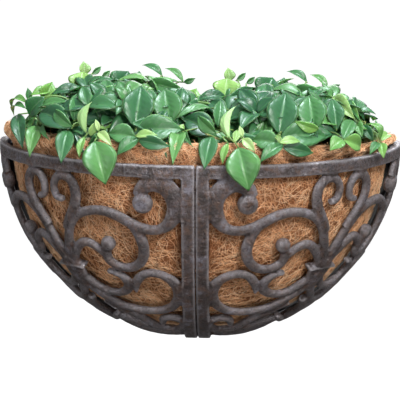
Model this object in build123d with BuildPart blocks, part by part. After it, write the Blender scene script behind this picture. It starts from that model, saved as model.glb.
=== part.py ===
from build123d import *
from math import atan, ceil, cos, hypot, radians, sin
import os

# Half-round wall basket in cast iron, with a coir liner and two plants.
# Millimetres. +Z is up, -Y is the front, and the wall is the plane Y = 0.
# The origin is midway between the two wall screws, on the back of the wall bar.

# Driving dimensions
RADIUS = 200.0            # outside of the quarter-ball cage: 400 wide, 200 deep
BAR_THICK = 7.0           # of every cast bar, measured in from the outside
BAR_WIDE = 12.0           # rim, seam and wall edge bars
SEAM_GAP = 1.0            # between the two castings
STATION = 6.0             # spacing of the sections along a scroll

WALL_BAR = (383.0, 4.0, 20.0)
WALL_SCREW_SPACING = 200.0
WALL_SCREW_R = 3.5
BAR_SCREW_X = 178.0       # M5 pan screws that hold the castings to the wall bar
BAR_SCREW_R = 2.5
PAN_HEAD = (4.5, 3.0)     # radius, height

LUG_DEEP = 13.0           # seam lugs, inward from the inside of the bar
LUG_TALL = 15.0
LUG_THICK = 5.0
LUG_ANGLES = (25.0, 66.0)  # below the rim, seen from the side
SEAM_HOLE_R = 2.25
SEAM_BOLT_R = 2.0         # M4 hexagon bolts, washers and nuts
HEX_FLATS = 7.0
HEAD_TALL = 2.8
NUT_TALL = 3.2
WASHER = (4.5, 2.15, 0.8)  # outer radius, hole radius, thickness
BOLT_PAST_NUT = 1.0

LINER_R = 188.5
LINER_THICK = 13.5
LINER_BACK_Y = -13.0
LINER_BACK_THICK = 12.0
LINER_RISE = 18.0         # above the rim
NOTCH_HALF = 11.2         # half the width of the liner's notches over the seam bolts
NOTCH_CLEAR = 1.0
SHEET_R = 192.0           # black sheet behind the liner
SHEET_THICK = 1.0
SOIL_RISE = 6.0           # above the rim
PLANT_X = 78.0            # of the two plants' middles
PLANT_Y = -95.0
PLANT_TALL = 76.0
PLANT_R = 98.0            # of the ball whose cap is a plant's mound

# Worked out
INSIDE = RADIUS - BAR_THICK
MIDDLE = RADIUS - BAR_THICK / 2
RIM_TOP = WALL_BAR[2] / 2
CENTRE = Vector(0, 0, RIM_TOP)
BALL = Plane(origin=CENTRE)
HALF_GAP = SEAM_GAP / 2
BAR_FRONT_Y = -WALL_BAR[1]
LUG_FRONT_Y = BAR_FRONT_Y - 4.0
BAR_SCREW_Z = RIM_TOP - BAR_WIDE / 2
WASHER_X = HALF_GAP + LUG_THICK
NUT_X = WASHER_X + WASHER[2]
HOLLOW_R = LINER_R - LINER_THICK
HOLLOW_BACK_Y = LINER_BACK_Y - LINER_BACK_THICK
SOIL_TOP = RIM_TOP + SOIL_RISE

# Each eighth of the ball is a three-cornered panel. Its scrolls are drawn flat, u across and
# v up from the panel's middle, and wrapped on the ball. The panel is the same each side of u = 0.
PANEL_OUT = Vector(1, -1, -1).normalized()
PANEL_U = Vector(1, 1, 0).normalized()
PANEL_V = PANEL_OUT.cross(PANEL_U)
PANEL_AXIS = Plane(origin=CENTRE, x_dir=(0, 0, 1), z_dir=PANEL_U)

# The scrolls of the front side of the panel, as points (u, v, width)
BIG_SCROLL = [
    (-108, 83, 12), (-116, 91, 14), (-131, 92, 17), (-144, 74, 17), (-138, 54, 15), (-120, 43, 10),
    (-101, 48, 10), (-75, 67, 10), (-52, 72, 9), (-28, 64, 9), (-12, 42, 10), (0, 10, 12),
]
BIG_BOSS = (-110, 74, 19)
RING_SCROLL = [(-88, 58, 8), (-96, 36, 11), (-88, 14, 10), (-71, 6, 9), (-54, 13, 9), (-56, 31, 9)]
RING_BOSS = (-59, 36, 14)
LINK_ARM = [(-53, 20, 8), (-45, 31, 8), (-33, 38, 9), (-18, 30, 9), (-8, 18, 9), (-3, 8, 9)]
INNER_SCROLL = [
    (-44, 4, 5), (-56, -3, 8), (-58, -14, 10), (-48, -24, 9), (-33, -26, 8), (-20, -20, 8),
    (-8, -6, 8), (0, 2, 9),
]
LEAF_SCROLL = [
    (-62, -25, 2), (-70, -11, 9), (-86, -4, 8), (-101, -13, 9), (-105, -31, 12), (-96, -48, 11),
    (-76, -60, 9), (-52, -59, 8), (-31, -50, 9), (-16, -34, 9), (-5, -19, 9), (0, -10, 9),
]
FOOT_SCROLL = [
    (-10, -40, 8), (-22, -53, 9), (-31, -66, 9), (-35, -84, 8), (-37, -102, 8), (-50, -111, 8),
    (-65, -103, 8), (-75, -89, 8), (-70, -78, 8), (-57, -79, 7), (-53, -87, 6),
]
FOOT_ARCH = [(-35, -97, 7), (-21, -91, 8), (-9, -80, 8), (2, -75, 8)]
CREST_HOOK = [
    (-18, 83, 5), (-9, 86, 7), (-8, 98, 7), (-20, 107, 9), (-33, 101, 10), (-35, 84, 11),
    (-25, 68, 10), (-14, 52, 9),
]
# On the panel's own middle line
NECK = [(0, 20, 8), (0, 8, 27), (0, -6, 22), (0, -20, 10)]
COLLAR = [(-17, 9, 4), (0, 11, 5), (17, 9, 4)]
FOOT_LEAF = [(0, -70, 5), (0, -90, 12), (0, -120, 10), (0, -150, 8), (0, -186, 6)]
NECK_THICK = 9.0
COLLAR_THICK = 11.0
BOSS_THICK = 11.0
BOSS_ROUND = 5.0


def on_ball(u, v):
    """The place on the ball of a point of the flat panel."""
    reach = max(hypot(u, v), 1e-9)
    turn = 2 * atan(reach / (2 * MIDDLE))
    along = PANEL_U * (u / reach) + PANEL_V * (v / reach)
    return CENTRE + (PANEL_OUT * cos(turn) + along * sin(turn)) * MIDDLE


def scroll_bar(points, thick=BAR_THICK):
    """A bar of oval section that follows the points over the ball."""
    with BuildLine() as centre:
        Spline(*points)
    path = centre.edge()
    count = ceil(path.length / STATION)
    with BuildPart() as bar:
        for step in range(count + 1):
            at = path @ (step / count)
            slope = path % (step / count)
            spot = on_ball(at.X, at.Y)
            ahead = on_ball(at.X + slope.X, at.Y + slope.Y) - spot
            side = (spot - CENTRE).cross(ahead)
            with BuildSketch(Plane(origin=spot, x_dir=side, z_dir=ahead)):
                Ellipse(at.Z / 2, thick / 2)
        loft()
    return bar.part


def scroll_boss(u, v, across):
    """The round button at the end of a scroll, fatter than the bar."""
    spot = on_ball(u, v)
    out = (spot - CENTRE).normalized()
    with BuildPart() as boss:
        with BuildSketch(Plane(origin=spot - out * (BOSS_THICK / 2), z_dir=out)):
            Circle(across / 2)
        extrude(amount=BOSS_THICK)
        fillet(boss.edges().filter_by(GeomType.CIRCLE), radius=BOSS_ROUND)
    return boss.part


def largest(part):
    """The main solid of a part, without the crumbs that a cut can leave."""
    return part.solids().sort_by(SortBy.VOLUME)[-1]


def front_member(bars, bosses=(), cut_by=()):
    """A member of the right front panel: its bars and bosses, less the ones it runs into."""
    with BuildPart() as member:
        for points in bars:
            add(scroll_bar(points))
        split(bisect_by=PANEL_AXIS, keep=Keep.BOTTOM)
        for boss in bosses:
            add(scroll_boss(*boss))
        for other in cut_by:
            add(other, mode=Mode.SUBTRACT)
    return largest(member.part)


def half_bowl(radius, top, back_y):
    """A solid quarter ball with an upright band above its rim, flat at the back."""
    with BuildPart() as bowl:
        with BuildSketch(Plane(origin=CENTRE, x_dir=(1, 0, 0), z_dir=(0, -1, 0))):
            Circle(radius)
            Rectangle(2 * radius, radius, align=(Align.CENTER, Align.MAX), mode=Mode.INTERSECT)
            Rectangle(2 * radius, top, align=(Align.CENTER, Align.MIN))
            Rectangle(radius, 3 * radius, align=(Align.MIN, Align.CENTER), mode=Mode.INTERSECT)
        revolve(axis=Axis.Z)
        split(bisect_by=Plane.XZ.offset(-back_y))
    return bowl.part


def seam_lug_place(angle):
    """The outward direction of a seam lug and the centre of its bolt hole, in the plane X = 0."""
    out = Vector(0, -cos(radians(angle)), -sin(radians(angle)))
    return out, CENTRE + out * (INSIDE - LUG_DEEP / 2)


def save(name, shape):
    shape.label = name
    export_step(shape, f"parts/{name}.step")


def save_halves(name, shape):
    """The same piece on the right casting and, mirrored, on the left one."""
    save(f"right_{name}", shape)
    with BuildPart() as left:
        mirror(shape, about=Plane.YZ)
    save(f"left_{name}", left.part)


def save_panel(name, shape):
    """A member on the front and wall sides of both castings."""
    save_halves(f"front_{name}", shape)
    with BuildPart() as wall_side:
        mirror(shape, about=PANEL_AXIS)
    save_halves(f"wall_{name}", wall_side.part)


os.makedirs("parts", exist_ok=True)

# Rim band of the right casting, with the lug that takes the wall bar's screw
with BuildPart() as rim_band:
    with BuildSketch(Plane.XY.offset(RIM_TOP)):
        Circle(RADIUS)
        Circle(INSIDE, mode=Mode.SUBTRACT)
        with Locations((HALF_GAP, 0)):
            Rectangle(RADIUS, RADIUS, align=(Align.MIN, Align.MAX), mode=Mode.INTERSECT)
    extrude(amount=-BAR_WIDE)
    with BuildSketch(Plane.XZ.offset(-BAR_FRONT_Y)):
        with Locations((BAR_SCREW_X - 12, RIM_TOP)):
            Rectangle(INSIDE + 1 - BAR_SCREW_X + 12, BAR_WIDE, align=(Align.MIN, Align.MAX))
        with Locations((BAR_SCREW_X, BAR_SCREW_Z)):
            Circle(BAR_SCREW_R + 0.25, mode=Mode.SUBTRACT)
    extrude(amount=BAR_FRONT_Y - LUG_FRONT_Y)

# Seam bar of the right casting, with its two bolt lugs
with BuildPart() as seam_bar:
    with BuildSketch(Plane.YZ.offset(HALF_GAP)):
        with Locations((0, RIM_TOP)):
            Circle(RADIUS)
            Circle(INSIDE, mode=Mode.SUBTRACT)
        with Locations((-BAR_WIDE - HALF_GAP, RIM_TOP - BAR_WIDE)):
            Rectangle(RADIUS, RADIUS, align=(Align.MAX, Align.MAX), mode=Mode.INTERSECT)
    extrude(amount=BAR_WIDE)
    for angle in LUG_ANGLES:
        out, hole = seam_lug_place(angle)
        with BuildSketch(Plane(origin=hole, x_dir=out, z_dir=(1, 0, 0)).offset(HALF_GAP)):
            Rectangle(LUG_DEEP + 1, LUG_TALL)
            Circle(SEAM_HOLE_R, mode=Mode.SUBTRACT)
        extrude(amount=LUG_THICK)

# Wall edge bar of the right casting
with BuildPart() as wall_edge:
    with BuildSketch(Plane.XZ):
        with Locations((0, RIM_TOP)):
            Circle(RADIUS)
            Circle(INSIDE, mode=Mode.SUBTRACT)
        with Locations((HALF_GAP, RIM_TOP - BAR_WIDE)):
            Rectangle(RADIUS, RADIUS, align=(Align.MIN, Align.MAX), mode=Mode.INTERSECT)
    extrude(amount=BAR_WIDE + HALF_GAP)

# The neck and raised collar, where the scrolls of both sides meet
with BuildPart() as hub:
    add(scroll_bar(NECK, NECK_THICK))
    add(scroll_bar(COLLAR, COLLAR_THICK))

rim = rim_band.part
seam = seam_bar.part
neck = hub.part
big = front_member([BIG_SCROLL], [BIG_BOSS], [rim, seam, neck])
crest = front_member([CREST_HOOK], [], [rim, big])
ring = front_member([RING_SCROLL], [RING_BOSS])
link = front_member([LINK_ARM])
leaf = front_member([LEAF_SCROLL], [], [seam, neck])
inner = front_member([INNER_SCROLL], [], [leaf, neck])
foot = front_member([FOOT_SCROLL, FOOT_ARCH], [], [leaf, seam])

# The tapering leaf that runs from the arch down into the corner of the panel
with BuildPart() as foot_leaf:
    add(scroll_bar(FOOT_LEAF))

# Ring scroll, link arm and foot leaf run into their neighbours, as they do in one casting
save_halves("rim_band", rim)
save_halves("seam_bar", seam)
save_halves("wall_edge", wall_edge.part)
save_halves("hub", neck)
save_halves("foot_leaf", foot_leaf.part)
save_panel("big_scroll", big)
save_panel("crest_hook", crest)
save_panel("ring_scroll", ring)
save_panel("link_arm", link)
save_panel("leaf_scroll", leaf)
save_panel("inner_scroll", inner)
save_panel("foot_scroll", foot)

# Flat steel bar across the back, drilled for two wall screws and tapped for the castings
with BuildPart() as wall_bar:
    with BuildSketch(Plane.XZ):
        Rectangle(WALL_BAR[0], WALL_BAR[2])
        with Locations((-WALL_SCREW_SPACING / 2, 0), (WALL_SCREW_SPACING / 2, 0)):
            Circle(WALL_SCREW_R, mode=Mode.SUBTRACT)
        with Locations((-BAR_SCREW_X, BAR_SCREW_Z), (BAR_SCREW_X, BAR_SCREW_Z)):
            Circle(BAR_SCREW_R, mode=Mode.SUBTRACT)
    extrude(amount=WALL_BAR[1])

with BuildPart() as bar_screws:
    with BuildSketch(Plane.XZ):
        with Locations((-BAR_SCREW_X, BAR_SCREW_Z), (BAR_SCREW_X, BAR_SCREW_Z)):
            Circle(BAR_SCREW_R)
    extrude(amount=-LUG_FRONT_Y)
    with BuildSketch(Plane.XZ.offset(-LUG_FRONT_Y)):
        with Locations((-BAR_SCREW_X, BAR_SCREW_Z), (BAR_SCREW_X, BAR_SCREW_Z)):
            Circle(PAN_HEAD[0])
    extrude(amount=PAN_HEAD[1])
    fillet(bar_screws.faces().sort_by(Axis.Y)[:2].edges(), radius=1.2)

# Bolts, washers and nuts of the two seam lugs
with BuildPart() as seam_bolts:
    for angle in LUG_ANGLES:
        out, hole = seam_lug_place(angle)
        head_face = Plane(origin=hole, x_dir=out, z_dir=(1, 0, 0)).offset(NUT_X)
        with BuildSketch(head_face):
            RegularPolygon(HEX_FLATS / 2, 6, major_radius=False)
        extrude(amount=HEAD_TALL)
        with BuildSketch(head_face):
            Circle(SEAM_BOLT_R)
        extrude(amount=-(2 * NUT_X + NUT_TALL + BOLT_PAST_NUT))

with BuildPart() as seam_washers:
    for angle in LUG_ANGLES:
        out, hole = seam_lug_place(angle)
        for face_x in (WASHER_X, -NUT_X):
            with BuildSketch(Plane(origin=hole, x_dir=out, z_dir=(1, 0, 0)).offset(face_x)):
                Circle(WASHER[0])
                Circle(WASHER[1], mode=Mode.SUBTRACT)
            extrude(amount=WASHER[2])

with BuildPart() as seam_nuts:
    for angle in LUG_ANGLES:
        out, hole = seam_lug_place(angle)
        with BuildSketch(Plane(origin=hole, x_dir=out, z_dir=(1, 0, 0)).offset(-NUT_X)):
            RegularPolygon(HEX_FLATS / 2, 6, major_radius=False)
            Circle(SEAM_BOLT_R, mode=Mode.SUBTRACT)
        extrude(amount=-NUT_TALL)

# Coir liner, notched at the front so that it lifts straight up past the seam lugs
with BuildPart() as liner:
    add(half_bowl(LINER_R, LINER_RISE, LINER_BACK_Y))
    add(half_bowl(HOLLOW_R, LINER_RISE + 1, HOLLOW_BACK_Y), mode=Mode.SUBTRACT)
    for angle in LUG_ANGLES:
        out, hole = seam_lug_place(angle)
        along = Vector(0, out.Z, -out.Y) * (LUG_TALL / 2 + NOTCH_CLEAR)
        inner_end = hole - out * (LUG_DEEP / 2 + NOTCH_CLEAR)
        above = inner_end + along
        below = inner_end - along
        far = above + out * RADIUS
        with BuildSketch(Plane.YZ):
            with BuildLine():
                Polyline(
                    (above.Y, above.Z), (below.Y, below.Z), (below.Y, -2 * RADIUS),
                    (far.Y, -2 * RADIUS), (far.Y, far.Z), close=True,
                )
            make_face()
        extrude(amount=NOTCH_HALF, both=True, mode=Mode.SUBTRACT)

# Thin black sheet that keeps the wall dry
with BuildPart() as back_sheet:
    with BuildSketch(Plane(origin=CENTRE, x_dir=(1, 0, 0), z_dir=(0, -1, 0))):
        Circle(SHEET_R)
        Rectangle(2 * SHEET_R, SHEET_R, align=(Align.CENTER, Align.MAX), mode=Mode.INTERSECT)
        Rectangle(2 * SHEET_R, LINER_RISE, align=(Align.CENTER, Align.MIN))
    extrude(amount=-LINER_BACK_Y)
    split(bisect_by=Plane.XZ.offset(-LINER_BACK_Y - SHEET_THICK))

with BuildPart() as soil:
    add(half_bowl(HOLLOW_R, SOIL_RISE, HOLLOW_BACK_Y))

save("wall_bar", wall_bar.part)
save("bar_screws", bar_screws.part)
save("seam_bolts", seam_bolts.part)
save("seam_washers", seam_washers.part)
save("seam_nuts", seam_nuts.part)
save("coir_liner", liner.part)
save("back_sheet", back_sheet.part)
save("soil", soil.part)

# Two plants, each the closed mound that its leaves fill
for name, side in (("plant_left", -1), ("plant_right", 1)):
    with BuildPart() as plant:
        with Locations((side * PLANT_X, PLANT_Y, SOIL_TOP + PLANT_TALL - PLANT_R)):
            Sphere(PLANT_R)
        with BuildSketch(Plane.XY.offset(SOIL_TOP)):
            Circle(HOLLOW_R - NOTCH_CLEAR)
            with Locations((side * RADIUS / 2, HOLLOW_BACK_Y - NOTCH_CLEAR)):
                Rectangle(RADIUS, RADIUS, align=(Align.CENTER, Align.MAX), mode=Mode.INTERSECT)
        extrude(amount=PLANT_TALL, mode=Mode.INTERSECT)
    save(name, plant.part)
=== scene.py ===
import math
import random

import bmesh
import bpy
import numpy as np
from mathutils import Matrix, Vector, noise


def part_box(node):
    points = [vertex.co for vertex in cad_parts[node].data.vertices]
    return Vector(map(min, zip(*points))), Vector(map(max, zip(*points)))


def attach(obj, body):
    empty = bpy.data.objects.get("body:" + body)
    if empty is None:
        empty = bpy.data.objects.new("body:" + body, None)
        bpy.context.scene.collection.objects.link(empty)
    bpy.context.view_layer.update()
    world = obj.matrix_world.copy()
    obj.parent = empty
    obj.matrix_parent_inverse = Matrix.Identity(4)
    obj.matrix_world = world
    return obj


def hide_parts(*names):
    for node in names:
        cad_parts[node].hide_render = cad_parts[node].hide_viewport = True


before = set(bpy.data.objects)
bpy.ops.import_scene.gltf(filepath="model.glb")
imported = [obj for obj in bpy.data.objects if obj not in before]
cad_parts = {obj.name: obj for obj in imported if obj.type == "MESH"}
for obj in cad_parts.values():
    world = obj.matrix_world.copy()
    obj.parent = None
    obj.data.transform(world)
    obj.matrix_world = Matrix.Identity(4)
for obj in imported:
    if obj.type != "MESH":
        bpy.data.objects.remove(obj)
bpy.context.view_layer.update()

# Half-round wall basket: two cast-iron halves, a coir liner, compost and leafy plants.
# Metres, in the frame of the model: +Z up, -Y the front, the wall at Y = 0.

MM = 0.001
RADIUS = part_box("right_rim_band")[1].x
RIM_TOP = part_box("right_rim_band")[1].z
CENTRE = Vector((0, 0, RIM_TOP))       # the middle of the quarter ball that the cage follows
LINER_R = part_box("coir_liner")[1].x
LINER_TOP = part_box("coir_liner")[1].z
LINER_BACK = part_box("coir_liner")[1].y
LIP_HALF = 6.6 * MM                    # half the thickness of the liner's rounded top
LIP_R = LINER_R - LIP_HALF
LIP_Z = LINER_TOP - LIP_HALF
SOIL_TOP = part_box("soil")[1].z
LUG_ANGLES = (25.0, 66.0)              # seam lugs, degrees below the rim
LUG_REACH = 179 * MM                   # how near the middle their notches come
LUG_HALF = 8.5 * MM
NOTCH_HALF = 12 * MM
FLARE = 2.5 * MM                       # how far the liner leans out over the rim all round,
FLARE_ENDS = 4.5 * MM                  # and how much more at its two ends
TUCK = 4.5 * MM                        # how far it draws in beside the wall
PRESSED = 0.5                          # how much of its height above the rim its right-hand end loses

CAMERA_DISTANCE = 1.8
CAMERA_AROUND = 1.33                   # degrees to the right of straight ahead
CAMERA_ABOVE = 7.24                    # degrees above the rim
CAMERA_ROLL = 0.43                     # degrees
CAMERA_LENS = 161.3                    # focal length in millimetres
CAMERA_AIM_DROP = 63 * MM              # the aim is this far under the rim's centre
WORLD_BELOW = 0.10                     # strength of the studio's light from below and above
WORLD_ABOVE = 0.42
FLOOR_HALF = 40.0
FLOOR_HEIGHT = -1.1
# The lamps: name, place, aim, size, watts and colour
LAMPS = [
    ("key", (0.60, -1.70, 0.95), (0, -0.1, 0), 0.45, 36, (1, 0.985, 0.96)),
    ("fill", (-1.3, -1.3, 0.35), (0, -0.1, -0.05), 0.8, 6, (0.93, 0.96, 1)),
    ("low", (0.3, -1.7, -0.5), (0, -0.1, -0.1), 0.8, 8, (1, 0.99, 0.97)),
    ("back", (0.3, 1.6, 0.7), (0, 0, 0), 1.0, 12, (1, 1, 1)),
    ("top", (0.30, -0.25, 1.4), (0, -0.1, 0), 0.5, 34, (0.84, 0.93, 1)),
]


# ---------------------------------------------------------------- camera, lights, floor

def sight_from():
    """Where the camera stands."""
    around, above = math.radians(CAMERA_AROUND), math.radians(CAMERA_ABOVE)
    level = math.cos(above)
    out = Vector((math.sin(around) * level, -math.cos(around) * level, math.sin(above)))
    return CENTRE + out * CAMERA_DISTANCE


def add_camera():
    data = bpy.data.cameras.new("camera")
    data.lens = CAMERA_LENS
    camera = bpy.data.objects.new("camera", data)
    bpy.context.scene.collection.objects.link(camera)
    place = sight_from()
    aim = CENTRE - Vector((0, 0, CAMERA_AIM_DROP))
    turn = (aim - place).to_track_quat("-Z", "Y").to_matrix()
    turn = turn @ Matrix.Rotation(math.radians(CAMERA_ROLL), 3, "Z")
    camera.matrix_world = Matrix.Translation(place) @ turn.to_4x4()
    bpy.context.scene.camera = camera


def add_area_light(name, place, aim, size, watts, colour):
    data = bpy.data.lights.new(name, "AREA")
    data.shape = "DISK"
    data.size = size
    data.energy = watts
    data.color = colour
    light = bpy.data.objects.new(name, data)
    bpy.context.scene.collection.objects.link(light)
    light.location = place
    light.rotation_euler = (Vector(aim) - Vector(place)).to_track_quat("-Z", "Y").to_euler()


def add_studio():
    """A white studio: soft light that is brighter from above, five lamps and a floor."""
    world = bpy.data.worlds.new("studio")
    world.use_nodes = True
    tree = world.node_tree
    sky = tree.nodes["Background"]
    sky.inputs["Color"].default_value = (1, 1, 1, 1)
    direction = tree.nodes.new("ShaderNodeTexCoord")
    parts = tree.nodes.new("ShaderNodeSeparateXYZ")
    tree.links.new(direction.outputs["Generated"], parts.inputs["Vector"])
    glow = range_node(tree, parts, "Z", -0.6, 0.8, WORLD_BELOW, WORLD_ABOVE)
    tree.links.new(glow.outputs["Result"], sky.inputs["Strength"])
    bpy.context.scene.world = world
    bpy.context.scene.view_settings.view_transform = "Standard"
    for lamp in LAMPS:
        add_area_light(*lamp)
    add_floor()


def add_floor():
    """A pale, softly glowing floor, far below. It is a backdrop only and lights nothing."""
    mesh = bpy.data.meshes.new("floor")
    sides = ((-1, -1), (1, -1), (1, 1), (-1, 1))
    corners = [(x * FLOOR_HALF, y * FLOOR_HALF, FLOOR_HEIGHT) for x, y in sides]
    mesh.from_pydata(corners, [], [(0, 1, 2, 3)])
    floor = bpy.data.objects.new("floor", mesh)
    bpy.context.scene.collection.objects.link(floor)
    material, shader, _ = new_material("pale_floor")
    shader.inputs["Base Color"].default_value = (0.93, 0.93, 0.93, 1)
    shader.inputs["Roughness"].default_value = 0.9
    shader.inputs["Emission Color"].default_value = (1, 1, 1, 1)
    shader.inputs["Emission Strength"].default_value = 0.7
    mesh.materials.append(material)
    floor.visible_diffuse = False
    floor.visible_glossy = False


# ---------------------------------------------------------------- material helpers

def new_material(name):
    material = bpy.data.materials.new(name)
    material.use_nodes = True
    tree = material.node_tree
    return material, tree.nodes["Principled BSDF"], tree


def link(tree, source, output, target, socket):
    tree.links.new(source.outputs[output], target.inputs[socket])


def noise_node(tree, scale, detail, rough):
    """Noise over the object's own coordinates; scale is in lumps per metre."""
    place = tree.nodes.new("ShaderNodeTexCoord")
    node = tree.nodes.new("ShaderNodeTexNoise")
    node.inputs["Scale"].default_value = scale
    node.inputs["Detail"].default_value = detail
    node.inputs["Roughness"].default_value = rough
    link(tree, place, "Object", node, "Vector")
    return node


def ramp_node(tree, source, output, stops):
    """A colour ramp fed by a value: stops are (place, colour)."""
    node = tree.nodes.new("ShaderNodeValToRGB")
    bands = node.color_ramp.elements
    while len(bands) < len(stops):
        bands.new(0.5)
    for band, (place, colour) in zip(bands, stops):
        band.position = place
        band.color = (*colour, 1)
    link(tree, source, output, node, "Fac")
    return node


def mix_node(tree, factor, a, b, mode="MIX"):
    """Mixes two colours: each of factor, a and b is a (node, output) pair, or a plain value."""
    node = tree.nodes.new("ShaderNodeMix")
    node.data_type = "RGBA"
    node.blend_type = mode
    for socket, value in ((node.inputs["Factor"], factor), (node.inputs[6], a), (node.inputs[7], b)):
        if isinstance(value, tuple) and hasattr(value[0], "outputs"):
            tree.links.new(value[0].outputs[value[1]], socket)
        elif isinstance(value, tuple):
            socket.default_value = (*value, 1)
        else:
            socket.default_value = value
    return node


def range_node(tree, source, output, low, high, to_low, to_high):
    """Maps a value from the range low..high to the range to_low..to_high, and clamps it."""
    node = tree.nodes.new("ShaderNodeMapRange")
    for socket, value in (("From Min", low), ("From Max", high), ("To Min", to_low), ("To Max", to_high)):
        node.inputs[socket].default_value = value
    link(tree, source, output, node, "Value")
    return node


def attribute_node(tree, name):
    node = tree.nodes.new("ShaderNodeAttribute")
    node.attribute_name = name
    return node


def bump_chain(tree, shader, layers):
    """Bump from several heights: layers are (node, output, strength, distance)."""
    before = None
    for source, output, strength, distance in layers:
        node = tree.nodes.new("ShaderNodeBump")
        node.inputs["Strength"].default_value = strength
        node.inputs["Distance"].default_value = distance
        link(tree, source, output, node, "Height")
        if before:
            link(tree, before, "Normal", node, "Normal")
        before = node
    link(tree, before, "Normal", shader, "Normal")


# ---------------------------------------------------------------- materials

def iron_material():
    """Sand-cast iron under an old dark finish: grey bloom, rust patches, painted shade on the flanks and in
    the hollows, and pale upper faces and edges that are painted highlight as well as wear.
    """
    material, shader, tree = new_material("cast_iron_aged_painted_light")
    patches = noise_node(tree, 60, 9, 0.74)
    tone = ramp_node(tree, patches, "Fac", [
        (0.37, (0.018, 0.011, 0.010)), (0.46, (0.054, 0.036, 0.032)),
        (0.54, (0.088, 0.067, 0.068)), (0.64, (0.205, 0.192, 0.228))])
    # the outermost surfaces are rubbed pale, and the flanks down to the liner are darkened: painted shade
    # beside the liner, with some dirt
    place = tree.nodes.new("ShaderNodeTexCoord")
    offset = tree.nodes.new("ShaderNodeVectorMath")
    offset.operation = "DISTANCE"
    offset.inputs[1].default_value = CENTRE
    link(tree, place, "Object", offset, 0)
    flank_shade = range_node(tree, offset, "Value", RADIUS - 5.5 * MM, RADIUS - 0.8 * MM, 0.88, 0.0)
    sooty_and_shaded = mix_node(tree, (flank_shade, "Result"), (tone, "Color"), (0.019, 0.012, 0.010))
    rust = noise_node(tree, 130, 9, 0.75)
    rust_mask = range_node(tree, rust, "Fac", 0.50, 0.58, 0.0, 0.80)
    rusted = mix_node(tree, (rust_mask, "Result"), (sooty_and_shaded, 2), (0.120, 0.060, 0.036))
    # what faces up is made pale in scuffed patches: painted highlight on the upper faces, partly bleaching
    # and dust
    scuffs = noise_node(tree, 330, 7, 0.75)
    shape = tree.nodes.new("ShaderNodeNewGeometry")
    facing = tree.nodes.new("ShaderNodeSeparateXYZ")
    link(tree, shape, "Normal", facing, "Vector")
    upward_highlight = range_node(tree, facing, "Z", -0.2, 0.6, 0.06, 0.90)
    scuff_mask = range_node(tree, scuffs, "Fac", 0.46, 0.57, 0.05, 1.0)
    highlight_and_scuff = tree.nodes.new("ShaderNodeMath")
    highlight_and_scuff.operation = "MULTIPLY"
    link(tree, upward_highlight, "Result", highlight_and_scuff, 0)
    link(tree, scuff_mask, "Result", highlight_and_scuff, 1)
    bleached_and_highlit = mix_node(tree, (highlight_and_scuff, "Value"), (rusted, 2), (0.350, 0.335, 0.375))
    # sharp edges are made pale: rubbed wear and a painted highlight along them
    edge_wear_and_highlight = range_node(tree, shape, "Pointiness", 0.505, 0.545, 0.0, 0.75)
    worn_and_highlit = mix_node(tree, (edge_wear_and_highlight, "Result"), (bleached_and_highlit, 2), (0.380, 0.355, 0.375))
    # hollows and corners between members are made near-black: painted shade
    low = range_node(tree, shape, "Pointiness", 0.44, 0.495, 0.8, 0.0)
    final = mix_node(tree, (low, "Result"), (worn_and_highlit, 2), (0.012, 0.008, 0.006))
    link(tree, final, 2, shader, "Base Color")
    gloss = range_node(tree, scuffs, "Fac", 0.40, 0.60, 0.52, 0.26)
    link(tree, gloss, "Result", shader, "Roughness")
    shader.inputs["Metallic"].default_value = 0.45
    shader.inputs["Specular IOR Level"].default_value = 1.0
    sand = noise_node(tree, 1500, 3, 0.6)
    lumps = noise_node(tree, 300, 5, 0.65)
    bump_chain(tree, shader, [(lumps, "Fac", 1.0, 0.0032), (sand, "Fac", 0.6, 0.0008)])
    return material


def painted_steel_material():
    material, shader, tree = new_material("black_painted_steel")
    wear = noise_node(tree, 120, 6, 0.65)
    tone = ramp_node(tree, wear, "Fac", [
        (0.40, (0.018, 0.018, 0.020)), (0.62, (0.030, 0.030, 0.033)), (0.74, (0.090, 0.070, 0.060))])
    link(tree, tone, "Color", shader, "Base Color")
    gloss = range_node(tree, wear, "Fac", 0.3, 0.7, 0.35, 0.6)
    link(tree, gloss, "Result", shader, "Roughness")
    peel = noise_node(tree, 900, 2, 0.5)
    bump_chain(tree, shader, [(peel, "Fac", 0.15, 0.0003)])
    return material


def zinc_material():
    material, shader, tree = new_material("zinc_plated_steel")
    spangle = noise_node(tree, 700, 4, 0.6)
    tone = ramp_node(tree, spangle, "Fac", [
        (0.35, (0.32, 0.33, 0.35)), (0.55, (0.50, 0.51, 0.53)), (0.72, (0.40, 0.34, 0.28))])
    link(tree, tone, "Color", shader, "Base Color")
    gloss = range_node(tree, spangle, "Fac", 0.3, 0.7, 0.28, 0.5)
    link(tree, gloss, "Result", shader, "Roughness")
    shader.inputs["Metallic"].default_value = 0.9
    bump_chain(tree, shader, [(spangle, "Fac", 0.1, 0.0002)])
    return material


def film_material():
    """Black plastic sheet, a little creased."""
    material, shader, tree = new_material("black_plastic_sheet")
    dust = noise_node(tree, 60, 5, 0.6)
    tone = ramp_node(tree, dust, "Fac", [(0.35, (0.006, 0.006, 0.007)), (0.75, (0.022, 0.021, 0.020))])
    link(tree, tone, "Color", shader, "Base Color")
    gloss = range_node(tree, dust, "Fac", 0.3, 0.7, 0.32, 0.5)
    link(tree, gloss, "Result", shader, "Roughness")
    crease = noise_node(tree, 22, 3, 0.4)
    bump_chain(tree, shader, [(crease, "Fac", 0.6, 0.006)])
    return material


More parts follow.
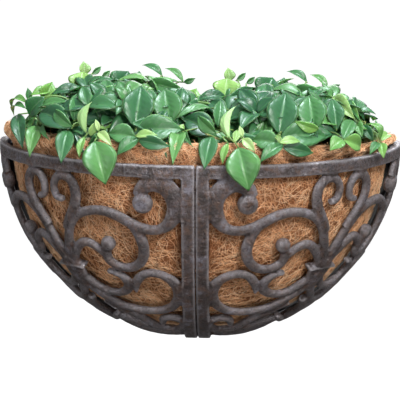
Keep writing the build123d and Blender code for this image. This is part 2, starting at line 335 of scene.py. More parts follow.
def coir_material():
    """Coconut fibre: each strand has its own tone, from dark husk to pale straw."""
    material, shader, tree = new_material("coir_fibre")
    strand = attribute_node(tree, "tone")
    tone = ramp_node(tree, strand, "Fac", [
        (0.0, (0.070, 0.022, 0.008)), (0.25, (0.330, 0.130, 0.050)), (0.5, (0.690, 0.345, 0.160)),
        (0.75, (0.930, 0.560, 0.310)), (1.0, (1.000, 0.800, 0.560))])
    patches = noise_node(tree, 70, 5, 0.6)
    warm = ramp_node(tree, patches, "Fac", [(0.32, (0.80, 0.70, 0.62)), (0.62, (1.0, 1.0, 1.0))])
    final = mix_node(tree, 0.8, (tone, "Color"), (warm, "Color"), "MULTIPLY")
    link(tree, final, 2, shader, "Base Color")
    shader.inputs["Roughness"].default_value = 0.72
    shader.inputs["Specular IOR Level"].default_value = 0.3
    grain = noise_node(tree, 1800, 3, 0.6)
    bump_chain(tree, shader, [(grain, "Fac", 0.3, 0.0004)])
    return material


def compost_material():
    material, shader, tree = new_material("compost")
    clods = noise_node(tree, 240, 8, 0.7)
    tone = ramp_node(tree, clods, "Fac", [
        (0.3, (0.012, 0.008, 0.005)), (0.55, (0.045, 0.027, 0.016)), (0.75, (0.13, 0.080, 0.045))])
    link(tree, tone, "Color", shader, "Base Color")
    shader.inputs["Roughness"].default_value = 0.95
    bump_chain(tree, shader, [(clods, "Fac", 0.8, 0.003)])
    return material


def leaf_material():
    """Thick satin leaf: blue-green to yellow-green by the leaf, pale vein and margin, pale underside."""
    material, shader, tree = new_material("glossy_leaf")
    hue = attribute_node(tree, "hue")
    tone = ramp_node(tree, hue, "Fac", [
        (0.0, (0.020, 0.088, 0.036)), (0.25, (0.045, 0.152, 0.054)), (0.5, (0.095, 0.242, 0.066)),
        (0.75, (0.180, 0.355, 0.075)), (1.0, (0.420, 0.530, 0.230))])
    mottle = noise_node(tree, 55, 5, 0.55)
    shade = ramp_node(tree, mottle, "Fac", [(0.35, (0.66, 0.74, 0.78)), (0.65, (1.0, 1.0, 1.0))])
    toned = mix_node(tree, 0.8, (tone, "Color"), (shade, "Color"), "MULTIPLY")
    across = attribute_node(tree, "across")
    vein = range_node(tree, across, "Fac", 0.01, 0.07, 0.22, 0.0)
    veined = mix_node(tree, (vein, "Result"), (toned, 2), (0.240, 0.460, 0.180))
    margin = range_node(tree, across, "Fac", 0.91, 0.99, 0.0, 0.50)
    edged = mix_node(tree, (margin, "Result"), (veined, 2), (0.320, 0.540, 0.220))
    under = attribute_node(tree, "under")
    backed = mix_node(tree, (under, "Fac"), (edged, 2), (0.300, 0.500, 0.190))
    link(tree, backed, 2, shader, "Base Color")
    gloss = range_node(tree, mottle, "Fac", 0.3, 0.7, 0.44, 0.32)
    link(tree, gloss, "Result", shader, "Roughness")
    shader.inputs["Specular IOR Level"].default_value = 0.42
    shader.inputs["Coat Weight"].default_value = 0.10
    shader.inputs["Coat Roughness"].default_value = 0.22
    shader.inputs["Coat Tint"].default_value = (0.80, 0.92, 1.0, 1)
    shader.inputs["Subsurface Weight"].default_value = 0.12
    shader.inputs["Subsurface Radius"].default_value = (0.3, 1.0, 0.2)
    shader.inputs["Subsurface Scale"].default_value = 0.002
    side_veins = attribute_node(tree, "ribs")
    cells = noise_node(tree, 700, 4, 0.6)
    bump_chain(tree, shader, [(side_veins, "Fac", 0.35, 0.0006), (cells, "Fac", 0.12, 0.0004)])
    return material


def stem_material():
    material, shader, tree = new_material("soft_stem")
    bands = noise_node(tree, 90, 5, 0.6)
    tone = ramp_node(tree, bands, "Fac", [
        (0.3, (0.090, 0.200, 0.050)), (0.55, (0.170, 0.290, 0.080)), (0.75, (0.260, 0.190, 0.090))])
    link(tree, tone, "Color", shader, "Base Color")
    shader.inputs["Roughness"].default_value = 0.45
    shader.inputs["Subsurface Weight"].default_value = 0.1
    shader.inputs["Subsurface Scale"].default_value = 0.002
    bump_chain(tree, shader, [(bands, "Fac", 0.2, 0.001)])
    return material


# ---------------------------------------------------------------- mesh helpers

def new_piece(name, vertices, faces, material, body, attributes=()):
    """A smooth mesh piece with per-vertex attributes, riding on a body."""
    mesh = bpy.data.meshes.new(name)
    mesh.from_pydata([tuple(v) for v in vertices], [], [tuple(f) for f in faces])
    for label, values in attributes:
        layer = mesh.attributes.new(label, "FLOAT", "POINT")
        layer.data.foreach_set("value", np.asarray(values, np.float32))
    mesh.shade_smooth()
    mesh.materials.append(material)
    piece = bpy.data.objects.new(name, mesh)
    bpy.context.scene.collection.objects.link(piece)
    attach(piece, body)
    return piece


def fused_mesh(name, sources, voxel, smooth_turns, swell=0.0):
    """One skin round several closed meshes, with the corners between them softened."""
    bm = bmesh.new()
    for source in sources:
        bm.from_mesh(source.data)
    bmesh.ops.remove_doubles(bm, verts=bm.verts, dist=1e-6)
    bm.normal_update()
    for vertex in bm.verts:
        vertex.co += vertex.normal * swell
    mesh = bpy.data.meshes.new(name)
    bm.to_mesh(mesh)
    bm.free()
    mesh.materials.clear()
    piece = bpy.data.objects.new(name, mesh)
    bpy.context.scene.collection.objects.link(piece)
    remesh = piece.modifiers.new("skin", "REMESH")
    remesh.mode = "VOXEL"
    remesh.voxel_size = voxel
    soften = piece.modifiers.new("soften", "SMOOTH")
    soften.factor = 0.5
    soften.iterations = smooth_turns
    view = bpy.context.evaluated_depsgraph_get()
    final = bpy.data.meshes.new_from_object(piece.evaluated_get(view))
    piece.modifiers.clear()
    piece.data = final
    final.shade_smooth()
    return piece


def mesh_points(mesh):
    flat = np.zeros(len(mesh.vertices) * 3, np.float32)
    mesh.vertices.foreach_get("co", flat)
    return flat.reshape(-1, 3).astype(float)


def mesh_normals(mesh):
    flat = np.zeros(len(mesh.vertices) * 3, np.float32)
    mesh.vertices.foreach_get("normal", flat)
    return flat.reshape(-1, 3).astype(float)


def set_points(mesh, points):
    mesh.vertices.foreach_set("co", points.astype(np.float32).ravel())
    mesh.update()


def noise_at(points, size):
    """Smooth noise, about -1 to 1, with lumps of the given size."""
    return np.array([noise.noise(Vector(p) / size) for p in points])


# ---------------------------------------------------------------- cage

def add_casting(half, iron):
    """One half of the cage as the single casting that it is, with the surface of sand-cast iron."""
    names = sorted(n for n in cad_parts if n.startswith(half + "_"))
    members = [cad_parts[n] for n in names]
    piece = fused_mesh(half + "_casting", members, voxel=1.15 * MM, smooth_turns=4, swell=0.15 * MM)
    points = mesh_points(piece.data)
    lumps = noise_at(points, 9 * MM) * 0.22 * MM + noise_at(points, 2.6 * MM) * 0.10 * MM
    set_points(piece.data, points + mesh_normals(piece.data) * lumps[:, None])
    piece.data.materials.clear()
    piece.data.materials.append(iron)
    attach(piece, "cage")
    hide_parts(*names)


def paint_cad_nodes():
    """The hard parts that keep their CAD shape: the wall bar, the screws and the seam's bolts."""
    for names, material in (
        (("wall_bar",), painted_steel_material()),
        (("bar_screws", "seam_bolts", "seam_washers", "seam_nuts"), zinc_material()),
    ):
        for name in names:
            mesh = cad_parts[name].data
            mesh.materials.clear()
            mesh.materials.append(material)


# ---------------------------------------------------------------- liner and compost

def in_notch(points):
    """Which points lie in the liner's two notches, or in the way of the lugs as it is lifted."""
    found = np.zeros(points.shape[:-1], bool)
    for angle in LUG_ANGLES:
        turn = math.radians(angle)
        above_z = RIM_TOP - LUG_REACH * math.sin(turn) + LUG_HALF * math.cos(turn) + 2 * MM
        inner_y = -LUG_REACH * math.cos(turn) + LUG_HALF * math.sin(turn)
        exit_z = RIM_TOP - math.sqrt(LINER_R ** 2 - inner_y ** 2) - 2 * MM
        found |= ((abs(points[..., 0]) < NOTCH_HALF) & (points[..., 2] < above_z)
                  & (points[..., 2] > exit_z) & (points[..., 1] < inner_y))
    return found


def ease(value, low, high):
    """0 below low, 1 above high, and a smooth rise between."""
    share = np.clip((value - low) / (high - low), 0, 1)
    return share * share * (3 - 2 * share)


def flare(points):
    """How far the liner leans out over the rim: a little all round, and more at its two ends."""
    above = ease(points[..., 2], RIM_TOP + MM, RIM_TOP + 9 * MM)
    return above * (FLARE + FLARE_ENDS * ease(abs(points[..., 0]), 0.120, 0.185))


def tuck(points):
    """How far the liner draws in beside the wall, where the black sheet shows past it."""
    return TUCK * ease(points[..., 1], -0.055, -0.018) * (points[..., 2] < RIM_TOP)


def settle(points):
    """Lowers what stands above the rim towards the liner's right-hand end, which is pressed down."""
    kept = 1 - PRESSED * ease(points[..., 0], 0.05, 0.165)
    height = points[..., 2]
    settled = points.copy()
    settled[..., 2] = np.where(height > RIM_TOP, RIM_TOP + (height - RIM_TOP) * kept, height)
    return settled


def onto_liner(points, lift):
    """Moves points to the liner's outer face, its rounded lip included, lifted by a distance."""
    flat = points * np.array([1, 1, 0])
    out = flat / np.maximum(np.linalg.norm(flat, axis=-1, keepdims=True), 1e-6)
    from_centre = points - np.array(CENTRE)
    ball = np.array(CENTRE) + from_centre / np.linalg.norm(from_centre, axis=-1, keepdims=True) * (
        LINER_R - tuck(points)[..., None] + lift[..., None])
    lean = flare(points)[..., None]
    band = out * (LINER_R + lean + lift[..., None]) + np.array([0, 0, 1]) * points[..., 2:3]
    ring = out * (LIP_R + lean) + np.array([0, 0, LIP_Z])
    from_ring = points - ring
    lip = ring + from_ring / np.maximum(np.linalg.norm(from_ring, axis=-1, keepdims=True), 1e-6) * (
        LIP_HALF + lift[..., None])
    height = points[..., 2:3]
    return np.where(height < RIM_TOP, ball, np.where(height < LIP_Z, band, lip))


def strand_tubes(paths, thick):
    """Three-sided tubes along many paths at once; returns vertices and faces."""
    count, steps, _ = paths.shape
    along = np.gradient(paths, axis=1)
    along /= np.maximum(np.linalg.norm(along, axis=-1, keepdims=True), 1e-9)
    out = paths - np.array(CENTRE)
    out /= np.linalg.norm(out, axis=-1, keepdims=True)
    side = np.cross(along, out)
    side /= np.maximum(np.linalg.norm(side, axis=-1, keepdims=True), 1e-9)
    out = np.cross(side, along)
    taper = np.sin(np.linspace(0.15, math.pi - 0.15, steps)) ** 0.4
    rings = []
    for turn in range(3):
        angle = math.radians(90 + 120 * turn)
        offset = side * math.cos(angle) + out * math.sin(angle)
        rings.append(paths + offset * (thick[:, None] * taper[None, :])[..., None])
    vertices = np.stack(rings, 2).reshape(-1, 3)
    faces = []
    base = np.arange(count)[:, None] * steps * 3
    for step in range(steps - 1):
        for turn in range(3):
            a = step * 3 + turn
            b = step * 3 + (turn + 1) % 3
            faces.append(base + np.array([a, b, b + 3, a + 3]))
    last = (steps - 1) * 3
    caps = np.concatenate([base + np.array([2, 1, 0]), base + np.array([last, last + 1, last + 2])], 0)
    return vertices, np.concatenate(faces, 0).tolist() + caps.tolist()


def grow_strands(rng, starts, headings, lengths, steps, lift_low, lift_high, wander):
    """Fibres that lie on the liner: each walks over its face from its start, bending as it goes."""
    ripple, ripple_turn = 0.5 * MM, 1.9
    jitter = 0.12
    points = starts.copy()
    heading = headings.copy()
    lift = rng.uniform(lift_low, lift_high, len(points))
    phase = rng.uniform(0, 2 * math.pi, len(points))
    bend = rng.normal(0, wander, len(points))
    path = []
    for step in range(steps):
        rise = lift + ripple * np.sin(phase + step * ripple_turn)
        points = onto_liner(points, np.minimum(rise, lift_high))
        path.append(points.copy())
        out = points - np.array(CENTRE)
        out /= np.linalg.norm(out, axis=1, keepdims=True)
        heading -= out * (heading * out).sum(1, keepdims=True)
        heading /= np.maximum(np.linalg.norm(heading, axis=1, keepdims=True), 1e-9)
        side = np.cross(out, heading)
        heading = heading + side * bend[:, None] + rng.normal(0, jitter, heading.shape)
        heading /= np.linalg.norm(heading, axis=1, keepdims=True)
        points = points + heading * (lengths / (steps - 1))[:, None]
    return np.stack(path, 1)


def liner_starts(rng, count):
    """Random places spread evenly over the quarter ball and the upright band above it."""
    band_share = 0.2
    around = rng.uniform(0, math.pi, count)
    fall = np.arcsin(rng.uniform(0, 1, count))
    ball = np.stack([np.cos(around) * np.cos(fall), -np.sin(around) * np.cos(fall), -np.sin(fall)], 1)
    ball = np.array(CENTRE) + ball * LINER_R
    rise = rng.uniform(RIM_TOP - 4 * MM, LINER_TOP + 6 * MM, count)
    band = np.stack([np.cos(around) * LINER_R, -np.sin(around) * LINER_R, rise], 1)
    return np.where((rng.uniform(0, 1, count) < band_share)[:, None], band, ball)


def add_liner(coir):
    """The moulded mat under a coat of real strands."""
    rng = np.random.default_rng(11)
    mat = fused_mesh("coir_mat", [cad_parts["coir_liner"]], voxel=2.4 * MM, smooth_turns=3)
    points = mesh_points(mat.data)
    flat = points * np.array([1, 1, 0])
    out = flat / np.maximum(np.linalg.norm(flat, axis=1, keepdims=True), 1e-6)
    ring = out * LIP_R + np.array([0, 0, LIP_Z])
    from_ring = points - ring
    reach = np.linalg.norm(from_ring, axis=1)
    lip = ring + from_ring * np.minimum(1, (LIP_HALF - 0.4 * MM) / np.maximum(reach, 1e-6))[:, None]
    front = (points[:, 2] > LIP_Z) & (points[:, 1] < LINER_BACK - 10 * MM)
    points = np.where(front[:, None], lip, points)
    outer = np.linalg.norm(points * np.array([1, 1, 0]), axis=1) > LINER_R - LIP_HALF * 2
    points = points + out * (flare(points) * outer)[:, None]
    from_centre = points - np.array(CENTRE)
    far = np.linalg.norm(from_centre, axis=1)
    shell = far > LINER_R - 6 * MM
    points = points - from_centre / np.maximum(far, 1e-6)[:, None] * (tuck(points) * shell)[:, None]
    points = settle(points)
    sink = -1.1 * MM + noise_at(points, 13 * MM) * 0.9 * MM + noise_at(points, 4 * MM) * 0.6 * MM
    set_points(mat.data, points + mesh_normals(mat.data) * sink[:, None])
    # the mat under the strands is given a dark tone: painted shade in the gaps between them
    tone = mat.data.attributes.new("tone", "FLOAT", "POINT")
    tone.data.foreach_set("value", (0.12 + 0.12 * noise_at(points, 3 * MM)).astype(np.float32))
    mat.data.materials.clear()
    mat.data.materials.append(coir)
    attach(mat, "planting")
    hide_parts("coir_liner")

    # layers of strands: name, count, then the ranges of length, thickness, lift (in mm) and tone; the
    # deeper the layer, the darker its tone range, as painted shade under the strands above
    layers = [
        ("coir_strands_deep", 6000, (22, 50), (0.26, 0.38), (-1.9, -0.9), (0.06, 0.35)),
        ("coir_strands_middle", 6200, (16, 40), (0.20, 0.32), (-1.2, 0.0), (0.25, 0.70)),
        ("coir_strands_upper", 6200, (12, 32), (0.15, 0.26), (-0.5, 0.8), (0.45, 0.95)),
        ("coir_strands_top", 6000, (8, 24), (0.12, 0.22), (0.0, 1.4), (0.60, 1.00)),
    ]
    for name, count, length, thick, lift, depth_shaded_tones in layers:
        starts = liner_starts(rng, count)
        headings = rng.normal(0, 1, (count, 3))
        lengths = rng.uniform(*length, count) * MM
        paths = grow_strands(rng, starts, headings, lengths, 6, lift[0] * MM, lift[1] * MM, 0.22)
        keep = (paths[..., 1].max(1) < LINER_BACK - MM) & ~in_notch(paths).any(1)
        paths = paths[keep]
        vertices, faces = strand_tubes(settle(paths), rng.uniform(*thick, len(paths)) * MM)
        shades = np.repeat(rng.uniform(*depth_shaded_tones, len(paths)), paths.shape[1] * 3)
        new_piece(name, vertices, faces, coir, "planting", [("tone", shades)])
    add_loose_ends(rng, coir)


def add_loose_ends(rng, coir):
    """Hairs that stand out of the liner's lip."""
    count, steps = 170, 6
    around = rng.uniform(0.08, math.pi - 0.08, count)
    start = np.stack([np.cos(around) * LIP_R, -np.sin(around) * LIP_R, np.full(count, LINER_TOP - MM)], 1)
    start += start * np.array([1, 1, 0]) / LIP_R * flare(start)[:, None]
    lean = rng.normal(0, 1, (count, 3)) * np.array([1, 1, 0.5]) + np.array([0, 0, 0.7])
    lean /= np.linalg.norm(lean, axis=1, keepdims=True)
    curl = rng.normal(0, 0.5, (count, 3))
    length = rng.uniform(3, 8, count) * MM
    share = np.linspace(0, 1, steps)[None, :, None]
    bent = lean[:, None] * share + curl[:, None] * share ** 2 * 0.5
    paths = start[:, None] + bent * length[:, None, None]
    paths[..., 2] = np.maximum(paths[..., 2], LINER_TOP - 2 * MM)
    keep = paths[..., 1].max(1) < LINER_BACK - MM
    paths = paths[keep]
    vertices, faces = strand_tubes(settle(paths), rng.uniform(0.14, 0.24, len(paths)) * MM)
    shades = np.repeat(rng.uniform(0.4, 1.0, len(paths)), steps * 3)
    new_piece("coir_loose_ends", vertices, faces, coir, "planting", [("tone", shades)])


def crinkle(x, z):
    """How deep the creases of the black sheet are at a place, 0 to about 1."""
    broad = noise.noise(Vector((x * 60, z * 60, 3.1)))
    fine = noise.noise(Vector((x * 190, z * 90, 8)))
    return abs(broad + 0.5 * fine)


def add_film(film):
    """The black sheet, crinkled, with its top corners tucked in behind the liner."""
    low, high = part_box("back_sheet")
    columns, rows = 96, 60
    crease = 0.25 * MM
    vertices, faces = [], []
    for face_y, push in ((low.y + 0.1 * MM, 1), (high.y, -1)):
        for row in range(rows + 1):
            z = low.z + (high.z - low.z) * row / rows
            reach = math.sqrt(max(high.x ** 2 - min(z - RIM_TOP, 0) ** 2, 0))
            if z > RIM_TOP - 4 * MM:
                reach = min(reach, LINER_R - 4 * MM)
            reach = max(reach + 0.2 * MM, 3 * MM)
            for column in range(columns + 1):
                x = reach * (2 * column / columns - 1)
                vertices.append((x, face_y - crease * push * crinkle(x, z), z))
    stride = columns + 1
    layer = stride * (rows + 1)
    for row in range(rows):
        for column in range(columns):
            a = row * stride + column
            faces.append((a, a + 1, a + stride + 1, a + stride))
            faces.append(tuple(layer + v for v in (a, a + stride, a + stride + 1, a + 1)))
    border = ([*range(stride)] + [row * stride + columns for row in range(1, rows + 1)]
              + [rows * stride + column for column in range(columns - 1, -1, -1)]
              + [row * stride for row in range(rows - 1, 0, -1)])
    for here, ahead in zip(border, border[1:] + border[:1]):
        faces.append((ahead, here, layer + here, layer + ahead))
    vertices = settle(np.array(vertices)) - np.array([0, 0, 0.5 * MM])
    film_piece = new_piece("film", vertices, faces, film, "planting")
    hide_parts("back_sheet")


def add_compost(compost):
    """The bed of compost, heaved a little, with loose crumbs on it."""
    crumbs = 900
    rng = np.random.default_rng(5)
    bed = fused_mesh("compost_bed", [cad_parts["soil"]], voxel=4 * MM, smooth_turns=2)
    points = mesh_points(bed.data)
    top = points[:, 2] > SOIL_TOP - 3 * MM
    heave = noise_at(points, 26 * MM) * 2.2 * MM + noise_at(points, 7 * MM) * 1.2 * MM - 1.5 * MM
    points[:, 2] += np.where(top, heave, 0)
    set_points(bed.data, points)
    bed.data.materials.clear()
    bed.data.materials.append(compost)
    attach(bed, "planting")
    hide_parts("soil")
    low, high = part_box("soil")
    vertices, faces = [], []
    for _ in range(crumbs):
        spot = Vector((rng.uniform(low.x, high.x), rng.uniform(low.y, high.y), SOIL_TOP - MM))
        if Vector((spot.x, spot.y)).length > LINER_R - 17 * MM:
            continue
        size = rng.uniform(1.0, 3.2) * MM
        crumb = bmesh.new()
        bmesh.ops.create_icosphere(crumb, subdivisions=1, radius=size)
        first = len(vertices)
        for vertex in crumb.verts:
            jolt = 1 + 0.45 * noise.noise(vertex.co / size * 1.3 + spot * 900)
            vertices.append(vertex.co * jolt + spot)
        faces += [[first + v.index for v in face.verts] for face in crumb.faces]
        crumb.free()
    new_piece("compost_crumbs", vertices, faces, compost, "planting")


# ---------------------------------------------------------------- plants

PLANT_SPACING = 144.5 * MM
PLANT_LEFT_X = -72.5 * MM
RIGHT_PLANT_DROP = 5 * MM

# The leaves of one plant as seen from the front, in millimetres from the plant's middle and the
# rim's top: foot across, foot up, foot forward of the wall, tip across, tip up, tip forward,
# width, roll about its own length in degrees, hue from blue-green 0 to yellow-green 1, bend,
# and for a leaf that curves sideways, how much.
LEAVES = [
    (-44, 62, 62, -45, 76, 60, 12, 20, 0.85, 0.05),
    (-47, 46, 84, -46, 66, 74, 26, 0, 0.80, 0.05),
    (-37, 63, 56, -27, 71, 50, 6, 30, 0.35, 0.05),
    (-27, 60, 52, -18, 67, 48, 6, 30, 0.35, 0.05),
    (-10, 46, 76, 0, 67, 66, 27, 0, 0.10, 0.08),
    (8, 46, 70, 11, 67, 62, 15, 0, 0.20, 0.08),
    (-86, 36, 100, -76, 55, 96, 18, 20, 0.72, 0.10),
    (-78, 45, 96, -98, 42, 104, 12, 30, 0.68, 0.10),
    (-100, 36, 92, -101, 49, 92, 7, 20, 0.30, 0.05),
    (-101, 33, 96, -119, 31, 100, 9, 30, 0.62, 0.15),
    (-103, 28, 110, -117, 24, 112, 8, 30, 0.40, 0.15),
    (-111, 22, 118, -107, -11, 136, 15, 10, 0.08, 0.10),
    (-91, 11, 158, -100, -19, 170, 15, 10, 0.52, 0.15),
    (-86, 12, 158, -81, -3, 166, 6, 40, 0.32, 0.10),
    (-88, 12, 164, -96, 16, 168, 6, 40, 0.85, 0.30),
    (-84, 40, 118, -101, 20, 138, 18, 10, 0.16, 0.12),
    (-61, 35, 128, -97, 26, 150, 11, 40, 0.36, 0.10),
    (-57, 8, 156, -90, 26, 142, 24, 0, 0.05, 0.10),
    (-56, 10, 172, -76, 28, 164, 13, -35, 0.34, 0.12),
    (-46, 46, 96, -77, 44, 106, 13, 25, 0.04, 0.12),
    (-55, 16, 150, -52, 44, 132, 14, 15, 0.30, 0.06),
    (-48, 40, 110, -19, 57, 90, 14, 20, 0.14, 0.10),
    (-38, 44, 116, 6, 49, 104, 14, 25, 0.50, 0.12),
    (-28, 38, 122, 4, 46, 112, 9, 40, 0.62, 0.12),
    (-42, 3, 172, -35, 35, 160, 10, 160, 0.97, -0.22, 0.20),
    (-25, 10, 146, -13, 36, 130, 25, 0, 0.12, 0.08),
    (-25, 9, 158, -10, 24, 150, 5, 60, 0.75, 0.20),
    (7, 9, 164, 13, 53, 142, 29, 0, 0.14, 0.07),
    (8, 0, 174, -21, 4, 168, 19, 5, 0.34, 0.08),
    (11, -1, 176, -12, -18, 186, 14, 20, 0.30, 0.10),
    (-30, 5, 186, -17, -8, 194, 9, 0, 0.90, 0.10),
    (-38, 1, 184, -35, 14, 182, 7, 10, 0.82, 0.05),
    (-30, 6, 184, -33, 18, 180, 5, 10, 0.92, 0.05),
    (-34, -4, 190, -23, -48, 206, 31, 0, 0.44, 0.08),
    (-44, 0, 186, -50, -21, 194, 8, 25, 0.70, 0.10),
    (-61, 7, 178, -68, -26, 192, 17, 5, 0.24, 0.08),
    (7, 1, 186, 29, 3, 190, 9, -20, 0.82, 0.08),
    (7, 6, 168, 55, 9, 170, 25, -5, 0.30, 0.08),
    (10, -3, 166, 42, -9, 170, 13, 10, 0.14, 0.08),
    (42, 13, 150, 36, 50, 132, 28, 0, 0.32, 0.07),
    (46, 15, 164, 22, 23, 166, 10, -30, 0.74, 0.15),
    (20, 56, 92, 57, 47, 104, 15, 15, 0.34, 0.15),
    (34, 62, 60, 14, 74, 54, 9, 30, 0.26, 0.15),
    (55, 56, 62, 37, 71, 54, 8, 30, 0.46, 0.15),
    (55, 56, 62, 67, 60, 62, 6, 30, 0.30, 0.10),
]
# Leaves of its right-hand side, which the next plant hides on the left one
OUTER_LEAVES = [
    (64, 14, 138, 59, 47, 120, 17, 10, 0.20, 0.10),
    (60, 48, 100, 81, 27, 126, 16, 10, 0.84, 0.15),
    (75, 46, 96, 88, 20, 120, 11, 20, 0.60, 0.15),
    (71, 5, 162, 58, -6, 170, 15, 10, 0.58, 0.10),
    (71, 5, 162, 80, 26, 154, 14, 0, 0.36, 0.08),
    (71, 5, 162, 90, -2, 166, 16, 0, 0.66, 0.10),
    (91, 20, 104, 101, 4, 112, 10, 10, 0.08, 0.10),
    (84, 24, 110, 90, 8, 124, 10, 10, 0.50, 0.10),
    (108, 5, 108, 95, 23, 104, 8, 30, 0.62, 0.45),
    (109, 4, 110, 117, 12, 112, 9, 0, 0.80, 0.15),
    (107, 2, 112, 98, -9, 122, 9, 10, 0.34, 0.15),
    (109, 2, 112, 112, -13, 122, 10, 0, 0.70, 0.15),
]
LEAF_BASE, LEAF_TIP = 0.98, 1.20       # how the outline narrows: below 1 is blunt, above 1 drawn out
LEAF_FOLD = 0.85                       # how steeply each half rises from the midrib
LEAF_THICK = 0.9 * MM
FRONT_GRID = (14, 5)                   # lengthwise steps and lanes each side of the midrib
FILL_GRID = (8, 3)
# Where a leaf stands when it is above this height: its least and greatest distance from the upright
# line through the origin. What hangs below the liner's top is just outside it, or outside the rim.
LEAF_ROOM = [
    (LINER_TOP + 3 * MM, 0, LINER_R + 4 * MM),
    (RIM_TOP + 4 * MM, LINER_R + 7 * MM, LINER_R + 16 * MM),
    (-math.inf, RADIUS + 3 * MM, RADIUS + 14 * MM),
]
GOLDEN = math.radians(137.5)           # the turn from one leaf or shoot to the next


def forward(x, z, reach):
    """The point that looks to be at (x, z) on the wall plane, but stands forward, in LEAF_ROOM."""
    most_steps = 400
    wall_point = Vector((x, 0, z))
    eye = sight_from()

    def at(distance):
        return eye + (wall_point - eye) * ((eye.y + distance) / eye.y)

    for _ in range(most_steps):
        point = at(reach)
        across = Vector((point.x, point.y)).length
        nearest, farthest = next(room[1:] for room in LEAF_ROOM if point.z > room[0])
        if across < nearest:
            reach += MM
        elif across > farthest and reach > 20 * MM:
            reach -= MM
        else:
            break
    return at(reach)


class LeafMesh:
    """Collects leaves into one mesh with the attributes that the leaf material reads."""

    def __init__(self, grid):
        self.steps, self.sides = grid
        self.vertices, self.faces = [], []
        self.marks = {"across": [], "hue": [], "under": [], "ribs": []}

    def add(self, foot, tip, width, facing, hue, bend, sweep=0.0, wave=0.0):
        """A leaf from foot to tip: bend arches it, sweep curves it sideways, wave ruffles its margin."""
        run = tip - foot
        length = run.length
        along = run / length
        up = (facing - along * facing.dot(along)).normalized()
        side = along.cross(up)
        first = len(self.vertices)
        index = {}
        widest = LEAF_BASE / (LEAF_BASE + LEAF_TIP)
        peak = widest ** LEAF_BASE * (1 - widest) ** LEAF_TIP
        for skin in (0, 1):
            for step in range(self.steps + 1):
                share = step / self.steps
                outline = share ** LEAF_BASE * (1 - share) ** LEAF_TIP / peak
                half = max(width * 0.51 * outline, 0.25 * MM)
                arch = bend * length * 4 * share * (1 - share) - abs(bend) * length * 0.6 * share ** 3
                for lane in range(-self.sides, self.sides + 1):
                    across = lane / self.sides
                    border = abs(lane) == self.sides or step in (0, self.steps)
                    if skin and border:
                        index[skin, step, lane] = index[0, step, lane]
                        continue
                    rise = half * (LEAF_FOLD * abs(across) - 0.42 * across ** 2)
                    rise += wave * half * abs(across) * math.sin(share * 9 + hue * 20)
                    body = LEAF_THICK * (1 - abs(across) ** 3) * (1.3 - share) * skin
                    swing = sweep * length * 4 * share * (1 - share)
                    point = foot + along * (length * share) + side * (half * across + swing)
                    point += up * (arch + rise - body)
                    index[skin, step, lane] = len(self.vertices) - first
                    self.vertices.append(point)
                    self.marks["across"].append(abs(across))
                    self.marks["hue"].append(hue)
                    self.marks["under"].append(float(skin))
                    rib = math.sin((share * 7 - abs(across) * 1.6) * 2 * math.pi)
                    self.marks["ribs"].append(0.5 + 0.5 * rib)
        around = ((0, 0), (1, 0), (1, 1), (0, 1))
        for skin in (0, 1):
            for step in range(self.steps):
                for lane in range(-self.sides, self.sides):
                    corners = [index[skin, step + a, lane + b] for a, b in around]
                    if not skin:
                        corners.reverse()
                    self.faces.append([first + c for c in corners])

    def make(self, name, material):
        return new_piece(name, self.vertices, self.faces, material, "planting",
                         sorted(self.marks.items()))


def stem_tube(vertices, faces, path, thick, sides=6):
    """A round stem through the points, thinner at its end."""
    first = len(vertices)
    for step, point in enumerate(path):
        ahead = path[min(step + 1, len(path) - 1)] - path[max(step - 1, 0)]
        side = ahead.cross(Vector((0.3, 1, 0.2))).normalized()
        up = side.cross(ahead).normalized()
        radius = thick * (1 - 0.45 * step / (len(path) - 1))
        for turn in range(sides):
            angle = 2 * math.pi * turn / sides
            vertices.append(point + (side * math.cos(angle) + up * math.sin(angle)) * radius)
    for step in range(len(path) - 1):
        for turn in range(sides):
            a = first + step * sides + turn
            b = first + step * sides + (turn + 1) % sides
            faces.append([a, b, b + sides, a + sides])
    end = first + (len(path) - 1) * sides
    faces.append([first + turn for turn in reversed(range(sides))])
    faces.append([end + turn for turn in range(sides)])


def stem_path(root, foot, steps=9):
    """A shoot that leaves the compost upright and arches over to a leaf's foot, over the lip if need be."""
    peak = max(foot.z, root.z) + 8 * MM
    rise = Vector((root.x * 0.6 + foot.x * 0.4, root.y * 0.6 + foot.y * 0.4, peak))
    across = Vector((foot.x, foot.y, 0))
    if across.length > LIP_R - 8 * MM and foot.z < LINER_TOP + 12 * MM:
        over = across.normalized() * (LIP_R - 4 * MM)
        over.z = max(LINER_TOP + 5 * MM, foot.z)
        rise = over * 2 - (root + foot) / 2
    path = []
    for step in range(steps):
        share = step / (steps - 1)
        path.append(root * (1 - share) ** 2 + rise * (2 * share * (1 - share)) + foot * share ** 2)
    return path


def add_plant(name, middle, drop, rows, leaf, stem, seed):
    """One plant: the leaves of the table on their stems, and the shoots behind and between them."""
    rng = random.Random(seed)
    leaves = LeafMesh(FRONT_GRID)
    fill = LeafMesh(FILL_GRID)
    vertices, faces = [], []
    roots = [Vector((middle + rng.uniform(-30, 30) * MM, rng.uniform(-125, -60) * MM, SOIL_TOP - 4 * MM))
             for _ in range(7)]
    for foot_x, foot_z, foot_out, tip_x, tip_z, tip_out, width, roll, *look in rows:
        foot = forward(middle + foot_x * MM, RIM_TOP + foot_z * MM - drop, foot_out * MM)
        tip = forward(middle + tip_x * MM, RIM_TOP + tip_z * MM - drop, tip_out * MM)
        run = (tip - foot).normalized()
        to_eye = (sight_from() - foot).normalized() + Vector((0, 0, 0.25))
        facing = Matrix.Rotation(math.radians(roll), 3, run) @ to_eye
        leaves.add(foot, tip, width * MM, facing, *look, wave=0.06)
        root = min(roots, key=lambda r: (r - foot).length)
        stem_tube(vertices, faces, stem_path(root, foot), 1.3 * MM)
    add_rosettes(fill, vertices, faces, middle, drop, roots, rng)
    piece = leaves.make(name + "_leaves", leaf)
    fill.make(name + "_shoots", leaf)
    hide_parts(name)
    new_piece(name + "_stems", vertices, faces, stem, "planting")


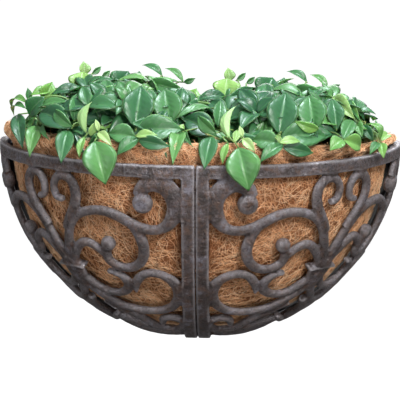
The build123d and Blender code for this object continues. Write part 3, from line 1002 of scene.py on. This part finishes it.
def add_rosettes(leaves, vertices, faces, middle, drop, roots, rng):
    """The shoots behind and between the leaves in front: each ends in a rosette of leaves."""
    wide, deep, tall = 104 * MM, 84 * MM, 60 * MM
    heart = Vector((middle * 1.08, -92 * MM, SOIL_TOP - 2 * MM - drop))
    shoots = 110
    for number in range(shoots):
        height = 1 - (number + 0.5) / shoots
        around = number * GOLDEN
        level = math.sqrt(1 - height ** 2)
        out = Vector((math.cos(around) * level, math.sin(around) * level, height))
        foot = heart + Vector((out.x * wide, out.y * deep, out.z * tall)) * rng.uniform(0.62, 0.97)
        if Vector((foot.x, foot.y)).length > LINER_R - 8 * MM or foot.y > -30 * MM:
            continue
        root = min(roots, key=lambda r: (r - foot).length)
        stem_tube(vertices, faces, stem_path(root, foot), 1.5 * MM)
        axis = (out + Vector((0, -0.25, 0.35))).normalized()
        side = axis.orthogonal().normalized()
        count = rng.choice((5, 6, 7))
        # the shoots' leaves take the darker blue-green hues: painted shade, as they stand behind and inside
        # the crown
        hue = rng.choice((0.0, 0.05, 0.12, 0.25, 0.45))
        for turn in range(count):
            angle = GOLDEN * turn + rng.uniform(-0.3, 0.3)
            spread = Matrix.Rotation(angle, 3, axis) @ side
            open_by = 0.55 + 0.70 * (1 - turn / count)
            run = (axis * (1.1 - open_by) + spread * open_by).normalized()
            length = rng.uniform(27, 40) * MM * (0.6 + 0.5 * (1 - turn / count))
            tip = foot + run * length
            reach = Vector((tip.x, tip.y)).length
            under = LINER_TOP if reach > LINER_R - 20 * MM else SOIL_TOP
            tip.z = max(tip.z, under + 5 * MM)
            if tip.y > -16 * MM or reach > LINER_R + 6 * MM:
                continue
            width = length * rng.uniform(0.52, 0.66)
            shaded_leaf_hue = min(1, max(0, hue + rng.uniform(-0.12, 0.2)))
            leaves.add(foot, tip, width, axis - run * 0.2, shaded_leaf_hue, rng.uniform(0.04, 0.14), wave=0.05)


# ---------------------------------------------------------------- the whole basket

add_camera()
add_studio()
iron = iron_material()
add_casting("right", iron)
add_casting("left", iron)
paint_cad_nodes()
add_liner(coir_material())
add_film(film_material())
add_compost(compost_material())
leaf, stem = leaf_material(), stem_material()
add_plant("plant_left", PLANT_LEFT_X, 0, LEAVES, leaf, stem, 3)
add_plant("plant_right", PLANT_LEFT_X + PLANT_SPACING, RIGHT_PLANT_DROP, LEAVES + OUTER_LEAVES,
          leaf, stem, 4)
